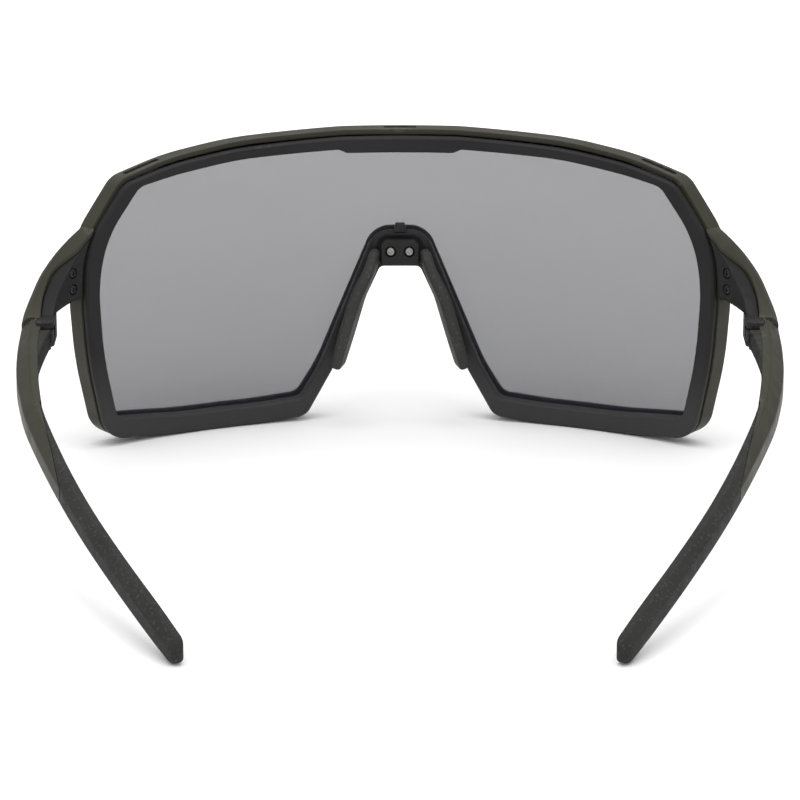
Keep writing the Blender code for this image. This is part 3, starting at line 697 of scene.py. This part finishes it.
def make_insert():
    item = loft("temple_wedge", insert_sections())
    cut(item, hinge_bar("swing", SWING, BARREL * math.sqrt(2) + LUG_ROOM))
    cut(item, hinge_lug("lug", LUG_MID, 1, BARREL * 0.6, 3.6), "UNION")
    smooth(item, 30.0)
    return item


def make_hinge_pin():
    x, y = HINGE[0], back_y(HINGE[1])
    low, high = PIN_HEAD
    item = round_bar("hinge_screw", (x, y, low), (x, y, high), 1.1, 0.25)
    cut(item, hinge_bar("shaft", (high - 0.2, LUG_TOP[1] - 0.3), PIN_RADIUS), "UNION")
    cut(item, rounded_bar("slot", (1.5, 0.3, 0.5), (x, y, low), edge=0.05))
    smooth(item, 30.0)
    return item


# ------------------------------------------------------------- the end pieces

def end_sections(shape):
    sections = []
    for outer_x, outer_y, inner_x, inner_y, top, *rest in smooth_rows(END_STATIONS, 4):
        outer = Vector((outer_x, back_y(outer_y), 0))
        inner = Vector((inner_x, back_y(inner_y), 0))
        section = []
        for share, height, radius in shape((outer - inner).length, top, *rest):
            place = inner.lerp(outer, share)
            section.append(((place.x, place.y, height), radius, 3))
        sections.append(section)
    return sections


def shell_section(width, top, low, _, roof_start, split):
    start = max(roof_start, 0.0)
    return ((start, top - ROOF, 0.1), (start, top, 0.35), (1 - 1.2 / width, top, 0.5),
            (1.0, top - 1.2, 0.5), (1.0, low, 0.8), (split, low, 0.25),
            (split, top - ROOF, 0.02))


def carrier_section(width, top, _, low, __, split):
    roof = top - ROOF - 0.1
    return ((0.0, roof, 0.35), (split - 0.1 / width, roof, 0.1),
            (split - 0.1 / width, low, 0.1), (0.0, low, 0.6))


def make_envelope():
    """The space the front takes up, to cut the end pieces against."""
    item = new_drawing("envelope")
    for number, radius in ((1, ENVELOPE[0]), (2, ENVELOPE[1])):
        outline = front_outline(FRAME_EDGE, 1.01, 0.0, WRAP_RADIUS - radius)
        draw_outline(item, outline, number, True)
    bridge(item, 1, 2)
    leave()
    outward(item)
    wrap(item)
    return item


def seat_point(height, radius):
    angle = SEAT_ARC * MM / (WRAP_RADIUS * MM)
    return Vector((radius * math.sin(angle), WRAP_AXIS_Y - radius * math.cos(angle), height))


def make_end_shell():
    item = loft("end_shell", end_sections(shell_section))
    cut(item, make_envelope())
    cut(item, hinge_bar("swing", (SWING[0], LUG_TOP[0]), BARREL + CLEARANCE))
    smooth(item, 30.0)
    return item


def make_carrier():
    item = loft("hinge_block", end_sections(carrier_section))
    cut(item, make_envelope())
    lug = hinge_lug("lug", (LUG_BOTTOM[0], LUG_TOP[1]), -1, -0.5, HINGE[1] - 35.6)
    cut(item, lug, "UNION")
    between = (LUG_BOTTOM[1], LUG_TOP[0])
    cut(item, hinge_bar("swing", between, BARREL * math.sqrt(2) + LUG_ROOM))
    for height in SEAT_HEIGHTS:
        inner, seat = seat_point(height, ENVELOPE[0]), seat_point(height, SEAT_RADIUS)
        cut(item, round_bar("seat", inner, seat, 1.1, sides=48))
    smooth(item, 30.0)
    return item


def make_end_screws():
    inward = seat_point(0, 1.0) - seat_point(0, 0.0)
    return [make_screw(f"end_screw_{name}", seat_point(height, SEAT_RADIUS), inward, 2.9)
            for name, height in zip(("upper", "lower"), SEAT_HEIGHTS)]


def make_tip():
    end = TEMPLE_STATIONS[-1][1] - TIP_ROUNDING
    sections = temple_sections(SLEEVE_SEAM[0][1] - 1.5, end)
    sections = with_round_ends(sections, 0.85, first=False)
    item = loft("temple_sleeve", [sleeve_section(*section) for section in sections])
    cut(item, sleeve_space(), "INTERSECT")
    smooth(item, 50.0)
    return item


# --------------------------------------------------------- camera, light, main

def make_camera():
    data = bpy.data.cameras.new("camera")
    data.lens = 192.9
    data.sensor_width = 36.0
    data.clip_start = 0.01
    data.clip_end = 20.0
    camera = bpy.data.objects.new("camera", data)
    bpy.context.scene.collection.objects.link(camera)
    target = Vector((0.0, -0.00014, 0.025))
    back = Vector((0.0, math.cos(math.radians(17.0)), math.sin(math.radians(17.0))))
    camera.location = target + back * 0.8
    camera.rotation_euler = (-back).to_track_quat("-Z", "Y").to_euler()
    bpy.context.scene.camera = camera


def make_studio():
    scene = bpy.context.scene
    scene.view_settings.view_transform = "Standard"
    world = bpy.data.worlds.new("studio")
    world.use_nodes = True
    tree = world.node_tree
    background = tree.nodes["Background"]
    background.inputs["Color"].default_value = (1.0, 1.0, 1.0, 1.0)
    sky = tree.nodes.new("ShaderNodeSeparateXYZ")
    tree.links.new(tree.nodes.new("ShaderNodeTexCoord").outputs["Generated"], sky.inputs[0])
    tree.links.new(spread(tree, sky.outputs["Z"], 0.0, 1.0, 0.34, 1.66),
                   background.inputs["Strength"])
    scene.world = world
    data = bpy.data.lights.new("key", "AREA")
    data.shape = "DISK"
    data.size = 0.16
    data.energy = 0.16
    key = bpy.data.objects.new("key", data)
    key.location = (0.0, 0.0, 0.3)
    scene.collection.objects.link(key)
    key.visible_camera = False
    bpy.ops.object.select_all(action="DESELECT")
    bpy.ops.mesh.primitive_plane_add(size=6.0, location=(0, 0, 0))
    floor = bpy.context.active_object
    floor.name = "table"
    floor.data.materials.append(table_white())


# ------------------------------------------------------------------- materials

def new_finish(name, colour, roughness, **settings):
    """A material with its shader, tree and object coordinates."""
    made = bpy.data.materials.new(name)
    made.use_nodes = True
    tree = made.node_tree
    shader = tree.nodes["Principled BSDF"]
    shader.inputs["Base Color"].default_value = (*colour, 1.0)
    shader.inputs["Roughness"].default_value = roughness
    shader.inputs["Specular IOR Level"].default_value = 0.12
    for key, value in settings.items():
        shader.inputs[key].default_value = value
    coords = tree.nodes.new("ShaderNodeTexCoord").outputs["Object"]
    return made, tree, shader, coords


def grain(tree, coords, scale, detail=3.0, stretch=(1, 1, 1)):
    mapping = tree.nodes.new("ShaderNodeMapping")
    mapping.inputs["Scale"].default_value = stretch
    tree.links.new(coords, mapping.inputs["Vector"])
    made = tree.nodes.new("ShaderNodeTexNoise")
    made.inputs["Scale"].default_value = scale
    made.inputs["Detail"].default_value = detail
    tree.links.new(mapping.outputs["Vector"], made.inputs["Vector"])
    return made.outputs["Fac"]


def spread(tree, value, low, high, out_low, out_high):
    made = tree.nodes.new("ShaderNodeMapRange")
    tree.links.new(value, made.inputs["Value"])
    for name, number in (("From Min", low), ("From Max", high), ("To Min", out_low),
                         ("To Max", out_high)):
        made.inputs[name].default_value = number
    return made.outputs["Result"]


def blend(tree, factor, first, second):
    made = tree.nodes.new("ShaderNodeMix")
    made.data_type = "RGBA"
    tree.links.new(factor, made.inputs["Factor"])
    for socket, colour in ((made.inputs[6], first), (made.inputs[7], second)):
        if isinstance(colour, tuple):
            socket.default_value = (*colour, 1.0)
        else:
            tree.links.new(colour, socket)
    return made.outputs[2]


def times(tree, first, second):
    made = tree.nodes.new("ShaderNodeMath")
    made.operation = "MULTIPLY"
    tree.links.new(first, made.inputs[0])
    tree.links.new(second, made.inputs[1])
    return made.outputs[0]


def bump(tree, shader, height, strength, distance):
    made = tree.nodes.new("ShaderNodeBump")
    made.inputs["Strength"].default_value = strength
    made.inputs["Distance"].default_value = distance * MM
    tree.links.new(height, made.inputs["Height"])
    tree.links.new(made.outputs["Normal"], shader.inputs["Normal"])


def moulded_plastic(name, colour, light, worn, roughness, painted_foot_light=None):
    """Satin moulded plastic with a fine texture, rubbed edges and a foot painted lighter: painted
    light from the bright table.
    """
    made, tree, shader, coords = new_finish(name, colour, roughness)
    cloud = grain(tree, coords, 45.0, 4.0)
    mottled = blend(tree, spread(tree, cloud, 0.35, 0.65, 0.0, 1.0), colour, light)
    if painted_foot_light:
        # Painted light: the lowest 6 to 20 mm blend to a lighter colour, standing for light from
        # the bright table on the frame's foot.
        place = tree.nodes.new("ShaderNodeSeparateXYZ")
        tree.links.new(coords, place.inputs[0])
        low = spread(tree, place.outputs["Z"], 0.006, 0.02, 1.0, 0.0)
        mottled = blend(tree, low, mottled, painted_foot_light)
    pointed = tree.nodes.new("ShaderNodeNewGeometry").outputs["Pointiness"]
    edges = spread(tree, pointed, 0.52, 0.58, 0.0, 0.55)
    chips = spread(tree, grain(tree, coords, 900.0, 5.0), 0.42, 0.6, 0.0, 1.0)
    tree.links.new(blend(tree, times(tree, edges, chips), mottled, worn),
                   shader.inputs["Base Color"])
    rub = spread(tree, grain(tree, coords, 220.0, 4.0), 0.3, 0.7, roughness - 0.06,
                 roughness + 0.08)
    tree.links.new(rub, shader.inputs["Roughness"])
    bump(tree, shader, grain(tree, coords, 8000.0, 2.0), 0.25, 0.02)
    return made


def soft_rubber(name, colour, light, roughness):
    made, tree, shader, coords = new_finish(name, colour, roughness)
    cloud = grain(tree, coords, 60.0, 4.0)
    mottled = blend(tree, spread(tree, cloud, 0.35, 0.65, 0.0, 1.0), colour, light)
    dust = spread(tree, grain(tree, coords, 1500.0, 6.0), 0.56, 0.7, 0.0, 0.3)
    tree.links.new(blend(tree, dust, mottled, (0.12, 0.12, 0.12)), shader.inputs["Base Color"])
    rub = spread(tree, grain(tree, coords, 300.0, 4.0), 0.3, 0.7, roughness - 0.08,
                 roughness + 0.08)
    tree.links.new(rub, shader.inputs["Roughness"])
    bump(tree, shader, grain(tree, coords, 6500.0, 2.0), 0.3, 0.03)
    return made


def tinted_lens():
    colour = (0.036, 0.034, 0.049)
    made, tree, shader, coords = new_finish("lens_tint", colour, 0.1)
    height = tree.nodes.new("ShaderNodeSeparateXYZ")
    tree.links.new(coords, height.inputs[0])
    dense = spread(tree, height.outputs["Z"], 0.005, 0.045, 0.54, 0.51)
    tree.links.new(dense, shader.inputs["Alpha"])
    smear = grain(tree, coords, 70.0, 4.0, (1.0, 1.0, 0.35))
    tree.links.new(spread(tree, smear, 0.35, 0.7, 0.08, 0.16), shader.inputs["Roughness"])
    tint = blend(tree, spread(tree, grain(tree, coords, 25.0), 0.3, 0.7, 0.0, 1.0),
                 colour, (0.04, 0.038, 0.054))
    tree.links.new(tint, shader.inputs["Base Color"])
    bump(tree, shader, grain(tree, coords, 120.0, 2.0), 0.02, 0.05)
    return made


def metal(name, colour, roughness):
    """Turned metal with fine tool marks."""
    made, tree, shader, coords = new_finish(name, colour, roughness, Metallic=1.0)
    turned = spread(tree, grain(tree, coords, 2500.0, 3.0), 0.3, 0.7, 0.0, 1.0)
    worn = tuple(part * 0.72 for part in colour)
    tree.links.new(blend(tree, turned, colour, worn), shader.inputs["Base Color"])
    tree.links.new(spread(tree, turned, 0.0, 1.0, roughness - 0.09, roughness + 0.11),
                   shader.inputs["Roughness"])
    bump(tree, shader, grain(tree, coords, 9000.0, 2.0), 0.15, 0.01)
    return made


def table_white():
    """Matt white board that glows a little, more further from the middle: painted light that
    keeps the far board white.
    """
    made, tree, shader, coords = new_finish("table_white", (0.96, 0.96, 0.96), 0.75)
    distance = tree.nodes.new("ShaderNodeVectorMath")
    distance.operation = "LENGTH"
    tree.links.new(coords, distance.inputs[0])
    # Painted light: the board glows, from none within 0.1 m of the middle up to 0.24 at 0.3 m
    # out.
    tree.links.new(spread(tree, distance.outputs["Value"], 0.1, 0.3, 0.0, 0.24),
                   shader.inputs["Emission Strength"])
    shader.inputs["Emission Color"].default_value = (1.0, 1.0, 1.0, 1.0)
    tree.links.new(blend(tree, spread(tree, grain(tree, coords, 30.0), 0.4, 0.6, 0.0, 1.0),
                         (0.96, 0.96, 0.96), (0.95, 0.95, 0.95)), shader.inputs["Base Color"])
    tree.links.new(spread(tree, grain(tree, coords, 300.0), 0.4, 0.6, 0.7, 0.8),
                   shader.inputs["Roughness"])
    bump(tree, shader, grain(tree, coords, 1500.0), 0.1, 0.01)
    return made


def give(item, finish):
    item.data.materials.clear()
    item.data.materials.append(finish)


def main():
    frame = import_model()
    make_camera()
    make_studio()
    olive = moulded_plastic("olive_satin", (0.034, 0.033, 0.023), (0.040, 0.038, 0.028),
                            (0.08, 0.078, 0.065), 0.45)
    # The black's lighter foot colour is painted light from the table, not scuffing.
    black = moulded_plastic("black_satin", (0.017, 0.0165, 0.017), (0.021, 0.0205, 0.021),
                            (0.04, 0.04, 0.04), 0.45, painted_foot_light=(0.04, 0.0395, 0.041))
    tips = soft_rubber("grip_rubber", (0.024, 0.0245, 0.0235), (0.029, 0.029, 0.028), 0.66)
    pads = soft_rubber("pad_rubber", (0.034, 0.035, 0.033), (0.041, 0.042, 0.04), 0.6)
    steel = metal("screw_steel", (0.3, 0.295, 0.28), 0.2)
    dark_steel = metal("blackened_steel", (0.05, 0.05, 0.05), 0.4)
    lens_tint = tinted_lens()
    finishes = {"frame_olive": olive, "rim_black": black, "lens_grey": lens_tint,
                "pad_rubber": pads, "tip_rubber": tips, "screw_steel": steel}
    for entry in frame["record"]["subparts"]:
        give(frame["nodes"][entry["node"]], finishes[entry["material_slot"]])
    for wire in ("nose_wire_left", "nose_wire_right"):
        give(frame["nodes"][wire], dark_steel)

    def place(item, slot, body, node_name, finish=None):
        give(item, finish or finishes[slot])
        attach(item, body)
        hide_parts(node_name)

    def both_sides(item, slot, body, node_name, finish=None):
        """Places a left piece and its mirrored copy; a body ending in _ has sides."""
        right = other_side(item, item.name + "_right")
        item.name += "_left"
        for piece, side in ((item, "left"), (right, "right")):
            on = body + side if body.endswith("_") else body
            place(piece, slot, on, f"{node_name}_{side}", finish)

    place(make_front_frame(), "frame_olive", "front", "outer_frame")
    place(make_rear_rim(), "rim_black", "front", "inner_rim")
    lens = make_lens()
    lens.visible_shadow = False
    place(lens, "lens_grey", "front", "shield_lens")
    place(make_plate(), "rim_black", "front", "nose_bracket")
    screw = make_screw("nose_plate_screw", (SCREW_X, back_y(7.7), SCREW_Z), (0, -1, 0), 2.9)
    both_sides(screw, "screw_steel", "front", "nose_screw")
    both_sides(make_pad(), "pad_rubber", "nose_pad_", "nose_pad")
    both_sides(make_end_shell(), "frame_olive", "front", "end_piece")
    both_sides(make_carrier(), "rim_black", "front", "hinge_carrier")
    upper, lower = make_end_screws()
    both_sides(upper, "screw_steel", "front", "end_screw_upper", dark_steel)
    both_sides(lower, "screw_steel", "front", "end_screw_lower", dark_steel)
    both_sides(make_hinge_pin(), "screw_steel", "front", "hinge_pin", dark_steel)
    both_sides(make_temple(), "frame_olive", "temple_", "temple_arm")
    both_sides(make_insert(), "rim_black", "temple_", "temple_insert")
    both_sides(make_tip(), "tip_rubber", "temple_", "temple_tip")


main()
